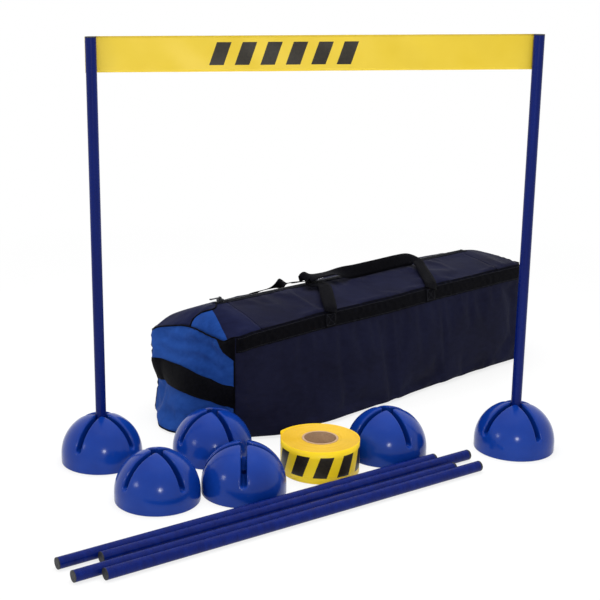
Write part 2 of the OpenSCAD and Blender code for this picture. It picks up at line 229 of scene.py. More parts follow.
def strap(name, line, across, width, thick, material):
    """Webbing along a line of points. across is each point's direction of width."""
    line, across = np.asarray(line, float), unit(across)
    along = unit(np.gradient(line, axis=0))
    across = unit(across - along * np.sum(across * along, 1)[:, None])
    up = np.cross(along, across)
    sides = [(-0.5, -0.5), (-0.25, -0.5), (0, -0.5), (0.25, -0.5), (0.5, -0.5),
             (0.5, 0.5), (0.25, 0.5), (0, 0.5), (-0.25, 0.5), (-0.5, 0.5)]
    edge = [0.72 if abs(s) == 0.5 else 1.0 for s, _ in sides]
    rings = np.stack([line + across * s * width + up * t * thick * e
                      for (s, t), e in zip(sides, edge)], 1)
    return mesh_object(name, rings.reshape(-1, 3), strap_faces(len(line), len(sides)), material)


def tube(name, line, radius, material, sides=8, closed=False):
    """A round tube along a line of points."""
    line = np.asarray(line, float)
    along = unit(np.gradient(line, axis=0))
    side = unit(np.cross(along, np.array([0.13, 0.21, 0.97])))
    up = np.cross(along, side)
    turn = np.linspace(0, 2 * np.pi, sides, endpoint=False)
    rings = line[:, None] + radius * (np.cos(turn)[None, :, None] * side[:, None]
                                      + np.sin(turn)[None, :, None] * up[:, None])
    faces = grid_faces(len(line), sides, True, True) if closed else strap_faces(len(line), sides)
    return mesh_object(name, rings.reshape(-1, 3), faces, material)


def lathe(name, profile, centre, material, steps):
    """A profile of (radius, height) points turned round an upright axis, closed on itself."""
    turn = np.linspace(0, 2 * np.pi, steps, endpoint=False)
    profile = np.asarray(profile, float)
    points = np.stack([profile[:, 0][None] * np.cos(turn)[:, None] + centre[0],
                       profile[:, 0][None] * np.sin(turn)[:, None] + centre[1],
                       np.repeat(profile[:, 1][None], steps, 0)], 2)
    return mesh_object(name, points.reshape(-1, 3),
                       grid_faces(steps, len(profile), True, True)[:, ::-1], material)


def node_points(name):
    """A CAD node's own points, in the row frame."""
    mesh = frame["nodes"][name].data
    co = np.empty(len(mesh.vertices) * 3, np.float32)
    mesh.vertices.foreach_get("co", co)
    return co.reshape(-1, 3).astype(float)


def dress(name, material):
    """Gives a CAD node that stays its finished material."""
    mesh = frame["nodes"][name].data
    mesh.materials.clear()
    mesh.materials.append(material)


def modifier(piece, kind, **values):
    made = piece.modifiers.new(kind.lower(), kind)
    for key, value in values.items():
        setattr(made, key, value)
    return made


# ---- Materials ----


def srgb(r, g, b):
    """A colour as it shows on a screen, from 0 to 255, as the shader wants it."""
    c = np.array([r, g, b]) / 255
    linear = np.where(c <= 0.04045, c / 12.92, ((c + 0.055) / 1.055) ** 2.4)
    return (*linear.tolist(), 1.0)


class Shade:
    """A procedural material under construction."""

    def __init__(self, name, **sockets):
        self.material = bpy.data.materials.new(name)
        self.material.use_nodes = True
        self.tree = self.material.node_tree
        self.shader = self.tree.nodes["Principled BSDF"]
        for key, value in sockets.items():
            self.shader.inputs[key.replace("_", " ")].default_value = value
        self.place = self.add("ShaderNodeTexCoord").outputs["Object"]
        self.height = None

    def add(self, kind, links=None, **values):
        node = self.tree.nodes.new(kind)
        for key, value in values.items():
            setattr(node, key, value)
        for key, value in (links or {}).items():
            if isinstance(value, bpy.types.NodeSocket):
                self.tree.links.new(value, node.inputs[key])
            else:
                node.inputs[key].default_value = value
        return node

    def maths(self, operation, a, b=0.0, c=0.0):
        return self.add("ShaderNodeMath", {0: a, 1: b, 2: c}, operation=operation).outputs[0]

    def moved(self, turn=(0, 0, 0), scale=(1, 1, 1), shift=(0, 0, 0)):
        """The object's coordinates, moved, turned and scaled."""
        return self.add("ShaderNodeMapping", {"Vector": self.place, "Rotation": turn,
                                              "Scale": scale, "Location": shift}).outputs[0]

    def noise(self, scale, detail=3.0, rough=0.55, at=None):
        return self.add("ShaderNodeTexNoise", {"Vector": at or self.place, "Scale": scale,
                                               "Detail": detail, "Roughness": rough}).outputs["Fac"]

    def ramp(self, value, *stops):
        node = self.add("ShaderNodeValToRGB", {0: value})
        for element, (at, colour) in zip(node.color_ramp.elements, (stops[0], stops[-1])):
            element.position, element.color = at, colour
        for at, colour in stops[1:-1]:
            node.color_ramp.elements.new(at).color = colour
        return node.outputs[0]

    def level(self, value, low, high, out_low=0.0, out_high=1.0):
        return self.add("ShaderNodeMapRange", {0: value, 1: low, 2: high, 3: out_low,
                                               4: out_high}).outputs[0]

    def mix(self, share, a, b):
        node = self.add("ShaderNodeMix", data_type="RGBA")
        for socket, value in ((0, share), (6, a), (7, b)):
            if isinstance(value, bpy.types.NodeSocket):
                self.tree.links.new(value, node.inputs[socket])
            else:
                node.inputs[socket].default_value = value
        return node.outputs[2]

    def set(self, key, value):
        self.tree.links.new(value, self.shader.inputs[key])

    def axes(self, place=None):
        """The x, y and z of a place."""
        return self.add("ShaderNodeSeparateXYZ", {0: place or self.place}).outputs

    def times(self, product, *values):
        """The product of all the values."""
        for value in values:
            product = self.maths("MULTIPLY", product, value)
        return product

    def tones(self, value, *stops):
        """Colours the surface by a value, with stops of (value, red, green, blue)."""
        self.set("Base Color", self.ramp(value, *((at, srgb(*rgb)) for at, *rgb in stops)))

    def uneven(self, value, low, high, rough_low, rough_high):
        """Makes the surface rougher or glossier by a value."""
        self.set("Roughness", self.level(value, low, high, rough_low, rough_high))

    def bump(self, height, depth, strength=1.0):
        """Adds relief of that depth, in metres."""
        links = {"Height": height, "Distance": depth, "Strength": strength}
        if self.height is not None:
            links["Normal"] = self.height
        self.height = self.add("ShaderNodeBump", links).outputs[0]
        self.set("Normal", self.height)

    def grain(self, scale, detail, depth, strength):
        """Adds noise as relief."""
        self.bump(self.noise(scale, detail), depth, strength)


def moulded_plastic():
    s = Shade("moulded_blue", Roughness=0.3, Specular_IOR_Level=0.22)
    tone = s.level(s.noise(9, 4), 0.3, 0.7)
    s.tones(tone, (0.0, 5, 44, 128), (0.55, 9, 51, 138), (1.0, 16, 58, 148))
    s.uneven(s.level(s.noise(55, 8, 0.75), 0.52, 0.78), 0, 1, 0.17, 0.34)
    s.grain(420, 2, 0.00006, 0.5)
    s.grain(22, 2, 0.0005, 0.25)
    return s.material


def painted_tube():
    s = Shade("tube_blue", Roughness=0.3, Specular_IOR_Level=0.14)
    streak = s.noise(60, 5, at=s.moved(scale=(1, 1, 0.05)))
    s.tones(streak, (0.3, 1, 17, 84), (0.55, 2, 24, 98), (0.8, 5, 31, 110))
    s.uneven(s.noise(130, 6, 0.7), 0.35, 0.75, 0.24, 0.42)
    s.grain(500, 2, 0.00004, 0.4)
    return s.material


def card_core():
    s = Shade("card", Roughness=0.85)
    fibre = s.noise(260, 6, 0.7, at=s.moved(scale=(1, 1, 4)))
    s.tones(fibre, (0.25, 150, 118, 90), (0.5, 184, 152, 122), (0.8, 206, 178, 148))
    s.bump(fibre, 0.0002, 0.5)
    return s.material


def plain(name, noise, tones, grain, gloss=None, **sockets):
    """A material of one noise's tones and a grain. gloss gives the roughness's noise and levels."""
    s = Shade(name, **sockets)
    s.tones(s.noise(*noise), *tones)
    if gloss is not None:
        s.uneven(s.noise(*gloss[0]), *gloss[1])
    s.grain(*grain)
    return s.material


def plug_rubber():
    return plain("plug_black", (150, 5), [(0.3, 16, 17, 21), (0.75, 34, 35, 40)],
                 (900, 3, 0.00008, 0.6), ((220, 4), (0.3, 0.7, 0.48, 0.72)), Roughness=0.6)


def zip_cloth():
    return plain("zip_tape", (300, 4), [(0.3, 9, 10, 15), (0.75, 24, 25, 33)],
                 (900, 2, 0.0002, 0.5), Roughness=0.72, Specular_IOR_Level=0.04)


def zip_coil():
    return plain("zip_coil", (200, 3), [(0.3, 14, 15, 20), (0.75, 36, 37, 44)],
                 (700, 2, 0.0001, 0.4), Roughness=0.4)


def sewing_thread():
    return plain("thread", (900, 3), [(0.3, 20, 21, 28), (0.75, 44, 45, 56)],
                 (4000, 2, 0.0001, 0.5), Roughness=0.6, Specular_IOR_Level=0.2)


def dark_metal():
    tones = [(0.3, 38, 39, 44), (0.62, 66, 68, 76), (0.85, 118, 120, 128)]
    return plain("zip_metal", (240, 6, 0.7), tones, (800, 2, 0.00005, 0.4),
                 ((120, 4), (0.3, 0.7, 0.28, 0.5)), Roughness=0.35, Metallic=0.85)


def printed_tape(name, bars, light, dark, rings=None):
    """Yellow film. bars(s) gives the mask of the printed bars, and rings(s) that of wound edges."""
    s = Shade(name, Roughness=0.36, Specular_IOR_Level=0.3)
    film = s.ramp(s.noise(7, 3), (0.3, light), (0.7, dark))
    if rings is not None:
        film = s.mix(rings(s), film, srgb(176, 138, 20))
    ink = s.ramp(s.noise(160, 5), (0.3, srgb(26, 22, 14)), (0.8, srgb(46, 39, 24)))
    s.set("Base Color", s.mix(bars(s), film, ink))
    s.grain(28, 3, 0.0007, 0.35)
    s.grain(320, 2, 0.00005, 0.3)
    return s.material


WEAVE = 2600  # waves of the bag's weave, as radians to a metre
RIB, CROSS_RIB = 1900, 2300  # those of its webbing, along it and across


def woven(name, low, high, inset=None):
    """Coated fabric whose threads run along the bag. inset gives (mask(s), low, high)."""
    s = Shade(name, Roughness=0.6, Specular_IOR_Level=0.03, Sheen_Weight=0.005, Sheen_Roughness=0.45)
    turn = (0, 0, -BAG_TURN)
    x, y, z = (s.maths("SINE", s.times(axis, WEAVE)) for axis in s.axes(s.moved(turn=turn)))
    mottle = s.noise(5, 5, 0.6)
    slub = s.noise(90, 3, at=s.moved(turn=turn, scale=(0.25, 1, 1)))
    tone = s.maths("ADD", s.times(mottle, 0.75), s.times(slub, 0.25))
    colour = s.ramp(tone, (0.3, low), (0.72, high))
    if inset is not None:
        mask, low, high = inset
        colour = s.mix(mask(s), colour, s.ramp(tone, (0.3, low), (0.72, high)))
    s.set("Base Color", colour)
    s.uneven(mottle, 0.3, 0.7, 0.5, 0.7)
    s.bump(s.noise(16, 5, 0.6), 0.004, 0.22)
    s.bump(s.maths("ADD", s.times(x, z), s.times(x, y)), 0.00012, 0.5)
    return s.material


def webbing():
    s = Shade("webbing", Roughness=0.7, Specular_IOR_Level=0.03, Sheen_Weight=0.01, Sheen_Roughness=0.5)
    x, y, z = s.axes(s.moved(turn=(0, 0, -BAG_TURN)))
    rib = s.maths("SINE", s.times(s.maths("ADD", x, z), RIB))
    cross = s.maths("SINE", s.times(s.maths("SUBTRACT", y, z), CROSS_RIB))
    s.tones(s.noise(120, 5), (0.3, 3, 3, 6), (0.75, 11, 11, 16))
    s.bump(s.times(rib, cross), 0.0003, 0.6)
    s.grain(35, 3, 0.0012, 0.3)
    return s.material


# ---- Domed bases ----

BASE_NODES = ["left_base", "right_base", *(f"spare_base_{i}" for i in range(1, 5))]
BASE_R_MM, SKIRT_MM, BASE_WALL_MM, FOOT_MM = 97.5, 20.5, 7.0, 3.0
SLOT_R_MM, SLOT_FLOOR_MM, RIB_MM, RIB_LIFT_MM = 6.5, 47.0, 4.0, 2.0
SOCKET_R_MM, SOCKET_FLOOR_MM, CROWN_R_MM = 12.75, 6.0, 13.55
LIP_MM, MOUTH_MM, RIB_ROOT_MM = 5.5, 1.6, 1.2  # softness at the slots, the socket and the ribs
CELL_MM, MARGIN_MM = 2.4, 4  # the skin's grid, and its reach past the base


def soft_max(a, b, k):
    """The larger of two distances, with the crease between them rounded over k."""
    h = np.maximum(k - np.abs(a - b), 0) / k
    return np.maximum(a, b) + h * h * k / 4


def base_field(p):
    """Signed distance to a base, in millimetres, negative inside the plastic."""
    x, y, z = p[:, 0], p[:, 1], p[:, 2]
    out = np.hypot(x, y)
    dome = np.hypot(out, np.maximum(z - SKIRT_MM, 0))
    low = np.minimum(z - SLOT_FLOOR_MM - SLOT_R_MM, 0)
    across = np.minimum(np.hypot(x, low), np.hypot(y, low))
    slots = across - SLOT_R_MM
    socket = np.maximum(out - SOCKET_R_MM, SOCKET_FLOOR_MM - z)
    crown = np.maximum(out - CROWN_R_MM, SLOT_FLOOR_MM - z)
    ribs = np.minimum(np.abs(x - y), np.abs(x + y)) / math.sqrt(2) - RIB_MM / 2
    hollow = np.maximum.reduce([
        dome - (BASE_R_MM - BASE_WALL_MM),
        SOCKET_R_MM + BASE_WALL_MM - out,
        SLOT_R_MM + RIB_MM - across,
        -np.maximum(ribs, RIB_LIFT_MM - z),
    ])
    solid = soft_max(dome - BASE_R_MM, -z, FOOT_MM)
    solid = soft_max(solid, -slots, LIP_MM)
    solid = soft_max(solid, -np.minimum(socket, crown), MOUTH_MM)
    return soft_max(solid, -hollow, RIB_ROOT_MM)


def gradient(field, p):
    h = 0.05
    steps = np.eye(3) * h
    return np.stack([(field(p + s) - field(p - s)) / (2 * h) for s in steps], 1)


def skin(field, low, high, step):
    """Points, outward normals and quads on a field's zero surface, one point to a grid cell."""
    axes = [np.arange(a, b + step, step) for a, b in zip(low, high)]
    grid = np.stack(np.meshgrid(*axes, indexing="ij"), -1)
    inside = field(grid.reshape(-1, 3)).reshape(grid.shape[:3]) < 0
    count = sum(inside[i:inside.shape[0] - 1 + i, j:inside.shape[1] - 1 + j,
                       k:inside.shape[2] - 1 + k].astype(int)
                for i in (0, 1) for j in (0, 1) for k in (0, 1))
    active = (count > 0) & (count < 8)
    index = np.full(active.shape, -1)
    index[active] = np.arange(active.sum())
    points = grid[:-1, :-1, :-1][active] + step / 2
    middle = points.copy()
    for _ in range(6):
        g = gradient(field, points)
        shift = field(points)[:, None] * g / np.maximum((g * g).sum(1, keepdims=True), 0.05)
        points = np.clip(points - shift, middle - 0.75 * step, middle + 0.75 * step)
    faces = []
    for axis in range(3):
        one, two = (axis + 1) % 3, (axis + 2) % 3
        start = np.take(inside, range(inside.shape[axis] - 1), axis)
        at = np.argwhere(start != np.take(inside, range(1, inside.shape[axis]), axis))
        keep = [(at[:, o] >= 1) & (at[:, o] <= inside.shape[o] - 2) for o in (one, two)]
        at = at[keep[0] & keep[1]]
        quad = []
        for d1, d2 in ((0, 0), (-1, 0), (-1, -1), (0, -1)):
            cell = at.copy()
            cell[:, one] += d1
            cell[:, two] += d2
            quad.append(index[tuple(cell.T)])
        quad = np.stack(quad, 1)
        backward = ~start[tuple(at.T)]
        quad[backward] = quad[backward][:, ::-1]
        faces.append(quad)
    return points, unit(gradient(field, points)), np.vstack(faces)


def slot_turn(name, centre):
    """The direction of a base's first slot, from the record's box in it."""
    openings = frame["record"]["physics"]["openings"]
    box = next(o["box_m"] for o in openings if o["name"] == f"{name}_slot_1")
    at = (Vector(box[0]) + Vector(box[1])) / 2 - centre
    return math.atan2(at.y, at.x)


def make_bases(material):
    reach, top = BASE_R_MM + MARGIN_MM, SKIRT_MM + BASE_R_MM + 6
    points, normals, faces = skin(base_field, (-reach, -reach, -3), (reach, reach, top), CELL_MM)
    shared = None
    for name in BASE_NODES:
        low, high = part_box(name)
        centre = (low + high) / 2
        centre.z = 0
        if shared is None:
            made = mesh_object(name + "_moulding", points * MM, faces, material)
            made.data.normals_split_custom_set_from_vertices(normals.tolist())
            shared = made.data
        else:
            made = bpy.data.objects.new(name + "_moulding", shared)
            bpy.context.scene.collection.objects.link(made)
        turned = Matrix.Rotation(slot_turn(name, centre), 4, "Z")
        made.matrix_world = Matrix.Translation(centre) @ turned
        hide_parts(name)
        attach(made, body_of(frame["nodes"][name])[0])


# ---- Tape ----

TAPE_THICK = 0.45 * MM
TAPE_ROWS, TAPE_STEPS, WRAP_STEPS = 15, 260, 10  # points up the tape, along it and round a post
PRINT_TALL, PRINT_LOW = 0.051, 0.0145  # height of the bars, and of their lower ends on the tape
PRINT_PITCH, PRINT_WIDE, PRINT_LEAN = 0.058, 0.033, 0.35
TAPE_BARS, TAPE_FIRST = 6, 0.264  # the number of bars, and where the first starts
ROLL_BARS, ROLL_FIRST = 10, -0.295


def bar_mask(s, along, height, low, first, count):
    """One inside any of the slanted bars that stand on a height of low, and nought outside."""
    lean = s.times(s.maths("SUBTRACT", height, low), PRINT_LEAN)
    from_first = s.maths("SUBTRACT", s.maths("SUBTRACT", along, first), lean)
    turn = s.maths("DIVIDE", from_first, PRINT_PITCH)
    in_bar = s.maths("LESS_THAN", s.maths("FRACT", turn), PRINT_WIDE / PRINT_PITCH)
    started = s.maths("GREATER_THAN", turn, 0.0)
    ended = s.maths("LESS_THAN", turn, float(count))
    above = s.maths("GREATER_THAN", height, low)
    below = s.maths("LESS_THAN", height, low + PRINT_TALL)
    return s.times(in_bar, started, ended, above, below)


def tape_bars(s):
    x, _, z = s.axes()
    return bar_mask(s, x, z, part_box("net_tape")[0].z + PRINT_LOW, TAPE_FIRST, TAPE_BARS)


def tape_height(along, share, span):
    """How far the stretched film stands off its line: slack near the middle, tight at the posts."""
    edge = 2 * share - 1
    wave = 0.9 * np.sin(31 * along + 2.0 * edge) + 0.6 * np.sin(67 * along - 1.1 + 1.6 * edge)
    cup = 1.1 * edge**2 * np.cos(9 * along + 0.6)
    return arch(along / span, 0.6) * (wave + cup) * MM


def make_tape(material):
    low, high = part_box("net_tape")
    span, tall = high.x - low.x, high.z - low.z
    radius = (low.y + high.y) / 2  # of the turn round a post, whose axis is at y = 0
    turn = np.linspace(math.pi, math.pi / 2, WRAP_STEPS)
    left = np.stack([low.x + radius * np.cos(turn), radius * np.sin(turn)], 1)
    along = np.linspace(low.x, high.x, TAPE_STEPS)[1:-1]
    right = left[::-1] * [-1, 1] + [low.x + high.x, 0]
    path = np.vstack([left, np.stack([along, np.full(len(along), radius)], 1), right])
    out = unit(np.stack([-np.gradient(path[:, 1]), np.gradient(path[:, 0])], 1))
    points = []
    for side in (0.5, -0.5):
        for share in np.linspace(0, 1, TAPE_ROWS):
            off = tape_height(path[:, 0] - low.x, share, span) + side * TAPE_THICK
            points.append(np.column_stack([path + out * off[:, None],
                                           np.full(len(path), low.z + share * tall)]))
    piece = mesh_object("court_tape", np.vstack(points), slab_faces(TAPE_ROWS, len(path)), material)
    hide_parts("net_tape", "left_tape_end", "right_tape_end")
    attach(piece, "net")


# ---- Roll ----

ROLL_OUTER_TURNS, ROLL_PITCH = 2, 1.1 * MM
ROLL_INSET = 0.0006  # the winding and its outer turns, in from the roll's own outline
CORE_GAP, TURN_GAP = 0.0002, 0.0004  # from the core to the winding, and on to its outer turns
PEEL_TURNS, PEEL_OUT, PEEL_AT = 0.16, 0.0075, math.radians(150)  # the tape's loose end
RING_GAP = 0.55 * MM  # from one drawn edge of the wound tape to the next


def roll_facts():
    low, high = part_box("tape_roll")
    core_low, core_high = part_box("roll_core")
    centre = (core_low + core_high) / 2
    core_r = (core_high.x - core_low.x) / 2
    outer = max(abs(high.x - centre.x), abs(low.x - centre.x), high.y - centre.y, centre.y - low.y)
    return centre, core_r, outer, high.z - low.z


def roll_place(s):
    """The x, y and z of a place from the roll's centre, and its distance from the axis."""
    centre = roll_facts()[0]
    x, y, z = s.axes(s.moved(shift=(-centre.x, -centre.y, 0)))
    return x, y, z, s.maths("SQRT", s.maths("ADD", s.times(x, x), s.times(y, y)))


def roll_bars(s):
    outer = roll_facts()[2]
    x, y, z, radius = roll_place(s)
    outside = s.maths("GREATER_THAN", radius, outer - (ROLL_OUTER_TURNS + 1.5) * ROLL_PITCH)
    around = s.times(s.maths("ARCTAN2", y, x), outer)
    return s.times(bar_mask(s, around, z, PRINT_LOW, ROLL_FIRST, ROLL_BARS), outside)


def roll_rings(s):
    _, _, z, radius = roll_place(s)
    on_top = s.maths("GREATER_THAN", z, roll_facts()[3] - 0.003)
    fine = s.maths("SINE", s.times(radius, 2 * math.pi / RING_GAP))
    at = s.add("ShaderNodeCombineXYZ", {0: s.times(radius, 700)}).outputs[0]
    shades = s.times(s.level(fine, -1, 1, 0.15, 0.6), s.level(s.noise(1, 2, at=at), 0.3, 0.7, 0.3, 1.0))
    return s.times(on_top, shades)


def make_roll(material, outer_material):
    centre, core_r, outer, tall = roll_facts()
    inner, wound = core_r + CORE_GAP, outer - ROLL_OUTER_TURNS * ROLL_PITCH - ROLL_INSET
    profile = [(inner, ROLL_INSET)]
    for radius in np.arange(inner, wound, ROLL_PITCH):
        top = tall - 0.0010 + RNG.uniform(-0.45, 0.45) * MM
        profile += [(radius, top - 0.0005), (radius + 0.25 * ROLL_PITCH, top),
                    (radius + 0.75 * ROLL_PITCH, top)]
    profile += [(wound, tall - 0.0016), (wound, ROLL_INSET)]
    body = lathe("roll_winding", profile, centre, material, 120)
    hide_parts("tape_roll")
    along = np.linspace(0, ROLL_OUTER_TURNS, ROLL_OUTER_TURNS * 110 + 1)
    peel = np.clip((along - (ROLL_OUTER_TURNS - PEEL_TURNS)) / PEEL_TURNS, 0, 1)
    radius = wound + TURN_GAP + along * (ROLL_PITCH - 0.0001) + PEEL_OUT * peel**2
    angle = 2 * math.pi * along + PEEL_AT
    line = np.stack([centre.x + radius * np.cos(angle), centre.y + radius * np.sin(angle),
                     np.full(len(along), tall / 2) + 0.0004 * np.sin(angle * 2.7)], 1)
    across = np.tile([0.0, 0.0, 1.0], (len(along), 1))
    tail = strap("roll_outer_turns", line, across, tall - 2 * ROLL_INSET, TAPE_THICK, outer_material)
    for piece in (body, tail):
        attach(piece, "roll")


# ---- Holdall cloth ----

HINGE = next(j for j in frame["joints"] if j["name"] == "front_flap_hinge")
ALONG = np.array(HINGE["axis"], float)  # the bag's length, from its left end
ACROSS = np.array([-ALONG[1], ALONG[0], 0.0])  # from its front to its back
UP = np.array([0.0, 0.0, 1.0])
BAG_TURN = math.atan2(ALONG[1], ALONG[0])
LEFT_END, RIGHT_END = node_points("bag_left_end"), node_points("bag_right_end")
BAG_A0, BAG_B0 = (LEFT_END @ ALONG).min(), (LEFT_END @ ACROSS).min()
BAG_L = (RIGHT_END @ ALONG).max() - BAG_A0
BAG_W = (LEFT_END @ ACROSS).max() - BAG_B0
BAG_H = HINGE["pos_m"][2]
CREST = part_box("bag_front_flap")[1].z
BAG_END = (node_points("bag_front") @ ALONG).min() - BAG_A0  # where the opening flaps begin
ZIP_B = BAG_W / 2
CORNER_R, LOW_EDGE_R, TOP_EDGE_R = 0.016, 0.020, 0.009
FOOT_CORNER_R = 0.036  # the corner beside a spare base


def bag_to_row(p):
    """Points (a, b, z) of the bag, along it, across it and up, in the row frame."""
    p = np.asarray(p, float)
    return ((BAG_A0 + p[..., :1]) * ALONG + (BAG_B0 + p[..., 1:2]) * ACROSS + p[..., 2:] * UP)


def bag_way(p):
    """Directions of the bag in the row frame."""
    p = np.asarray(p, float)
    return p[..., :1] * ALONG + p[..., 1:2] * ACROSS + p[..., 2:] * UP


def rounded(one, two, radius):
    """Distances from two faces of a box's edge, once that edge is rounded."""
    o1, o2 = np.maximum(radius - one, 0), np.maximum(radius - two, 0)
    share = np.maximum(o1, o2) / np.maximum(np.hypot(o1, o2), 1e-12)
    return (np.where(one < radius, radius - o1 * share, one),
            np.where(two < radius, radius - o2 * share, two))


# Heights of the top's front seam, back seam and crest, as (place along the bag, height)
TOP_LINES = [
    [(0, 0.272), (0.06, 0.279), (0.29, 0.287), (0.53, 0.286), (0.76, 0.293), (1.0, 0.294)],
    [(0, 0.240), (0.04, 0.256), (0.09, 0.261), (0.20, 0.265), (0.60, 0.268), (0.95, 0.266),
     (BAG_L, 0.262)],
    [(0, 0.300), (0.03, 0.311), (0.066, CREST), (1.02, CREST), (BAG_L, 0.312)],
]
CAP_RAMP = 0.070  # length over which the top comes down to the end panels


def top_height(a, b):
    """Height of the bag's top seams and crown."""
    front, back, crest = (np.interp(a, *zip(*line)) for line in TOP_LINES)
    side = (b - ZIP_B) / ZIP_B
    return np.where(side < 0, front + (crest - front) * (1 - side**2),
                    back + (crest - back) * (1 - np.abs(side) ** 1.12))


def end_seam(b):
    """Heights of the seams over the left and right end panels."""
    share = b / BAG_W
    left = (0.243 + 0.026 * arch(share, 1.5) + 0.029 * hill(b, 0, 0.03)
            + 0.006 * hill(b, 0.055, 0.03) - 0.010 * hill(b, BAG_W, 0.025))
    return left, 0.293 + 0.020 * arch(share, 1) - 0.028 * np.clip(share, 0, 1)


def end_bulge(b, z):
    """How far the cloth of the left and right ends stands out."""
    belt = smooth_step(z, 0.02, 0.09) * (1 - smooth_step(z, 0.13, 0.24))  # under the grab strap
    front = arch((b - 0.03) / 0.22, 0.9)
    lower = 1 - smooth_step(z, -0.02, 0.115)
    foot = smooth_step(b, 0.03, 0.16) * (1 - 0.82 * smooth_step(b, 0.18, BAG_W))
    back = smooth_step(b, 0.16, BAG_W) * (0.012 + 0.020 * smooth_step(z, 0.07, 0.16))
    left = 0.012 * arch(b / BAG_W, 0.8) + 0.034 * belt * front + back + 0.086 * foot * lower
    return left, 0.020 + 0.004 * smooth_step(z, 0.02, 0.29)


def bag_form(a, b, z):
    """Points of a plain box turned into those of the filled bag, before its cloth settles."""
    from_end, from_side = np.minimum(a, BAG_L - a), np.minimum(b, BAG_W - b)
    inward = np.minimum(from_end, from_side)
    foot = (a < BAG_L / 2) & (b < BAG_W / 2)
    corner = np.where(foot, FOOT_CORNER_R, CORNER_R)
    from_end, from_side = rounded(from_end, from_side, corner)
    new_a = np.where(a < BAG_L / 2, from_end, BAG_L - from_end)
    new_b = np.where(b < BAG_W / 2, from_side, BAG_W - from_side)
    low_in, low_up = rounded(inward, z, LOW_EDGE_R)
    top_in, top_down = rounded(inward, BAG_H - z, TOP_EDGE_R)
    inset = (low_in - inward + top_in - inward) / (1 - 2 * inward / BAG_W + 1e-9)
    inset = np.where(inward > LOW_EDGE_R, 0, inset)
    new_a = inset + new_a * (BAG_L - 2 * inset) / BAG_L
    new_b = inset + new_b * (BAG_W - 2 * inset) / BAG_W
    up = np.where(z < BAG_H / 2, low_up, BAG_H - top_down)
    left_seam, right_seam = end_seam(b)
    top = top_height(a, b)
    top = left_seam + (top - left_seam) * (1 - fade(a, CAP_RAMP) ** 3.0)
    top = right_seam + (top - right_seam) * (1 - fade(BAG_L - a, CAP_RAMP) ** 2.4)
    height = up * top / BAG_H
    level = np.clip(z / BAG_H, 0, 1)
    low = smooth_step(a, 0, 0.14) * (1 - 0.62 * smooth_step(a, 0.25, 1.0)) * (1 - level) ** 2.1
    bulge = arch(level, 0.8) * arch(a / BAG_L, 0.6) * 0.008
    new_b = (new_b - fade(b, 0.1) * (bulge + 0.056 * low)
             + fade(BAG_W - b, 0.1) * (bulge + 0.006 * low))
    left_out, right_out = end_bulge(b, z * top / BAG_H)
    new_a = new_a - fade(a, 0.12) ** 1.5 * left_out + fade(BAG_L - a, 0.12) ** 1.5 * right_out
    return np.stack([new_a, new_b, height], -1)


def stops(*spans):
    """Lattice lines over spans of (start, end, cells), each ending on a seam."""
    return np.unique(np.concatenate([np.linspace(*s[:2], s[2] + 1) for s in spans]).round(7))


class Lattice:
    """The box's grid lines and one index for each point on its six sides."""

    def __init__(self):
        cells = 1
        self.a = stops((0, BAG_END, 8 // cells), (BAG_END, BAG_L - BAG_END, 78 // cells),
                       (BAG_L - BAG_END, BAG_L, 8 // cells))
        self.b = stops((0, ZIP_B, 14 // cells), (ZIP_B, BAG_W, 14 // cells))
        self.z = stops((0, BAG_H, 26 // cells))
        shape = len(self.a), len(self.b), len(self.z)
        i, j, k = np.meshgrid(*(np.arange(n) for n in shape), indexing="ij")
        shell = (i % (shape[0] - 1) == 0) | (j % (shape[1] - 1) == 0) | (k % (shape[2] - 1) == 0)
        index = np.full(shape, -1)
        index[shell] = np.arange(shell.sum())
        self.box = np.stack([self.a[i[shell]], self.b[j[shell]], self.z[k[shell]]], 1)
        self.sides = {"front": (index[:, 0], False), "back": (index[:, -1], True),
                      "left": (index[0], True), "right": (index[-1], False),
                      "floor": (index[:, :, 0], True), "top": (index[:, :, -1], False)}
        self.lines = {"front": (self.a, self.z), "back": (self.a, self.z),
                      "left": (self.b, self.z), "right": (self.b, self.z),
                      "floor": (self.a, self.b), "top": (self.a, self.b)}
        self.at = bag_form(*self.box.T)

    def faces(self, side, keep=None):
        """Quads of a side, outward, or of the cells that keep(u, v) takes by their middles."""
        grid, flip = self.sides[side]
        u, v = self.lines[side]
        cell = grid_faces(*grid.shape)
        if keep is not None:
            middles = np.meshgrid((u[1:] + u[:-1]) / 2, (v[1:] + v[:-1]) / 2, indexing="ij")
            cell = cell[keep(*middles).ravel()]
        quads = grid.ravel()[cell[:, [0, 3, 2, 1]]]
        return quads[:, ::-1] if flip else quads

    def on(self, side, u, v, lift=0.0):
        """Points over a side at the box's own coordinates there, in the row frame, and normals."""
        grid, flip = self.sides[side]
        lines_u, lines_v = self.lines[side]
        points = self.at[grid]

        def sample(u, v):
            fu = np.clip(np.interp(u, lines_u, np.arange(len(lines_u))), 0, len(lines_u) - 1.001)
            fv = np.clip(np.interp(v, lines_v, np.arange(len(lines_v))), 0, len(lines_v) - 1.001)
            iu, iv = fu.astype(int), fv.astype(int)
            wu, wv = (fu - iu)[..., None], (fv - iv)[..., None]
            return ((points[iu, iv] * (1 - wu) + points[iu + 1, iv] * wu) * (1 - wv)
                    + (points[iu, iv + 1] * (1 - wu) + points[iu + 1, iv + 1] * wu) * wv)

        u, v = np.broadcast_arrays(np.asarray(u, float), np.asarray(v, float))
        step = 0.006
        normal = unit(np.cross(sample(u + step, v) - sample(u - step, v),
                               sample(u, v + step) - sample(u, v - step)))
        normal = -normal if flip else normal
        return bag_to_row(sample(u, v) + normal * np.asarray(lift)[..., None]), bag_way(normal)


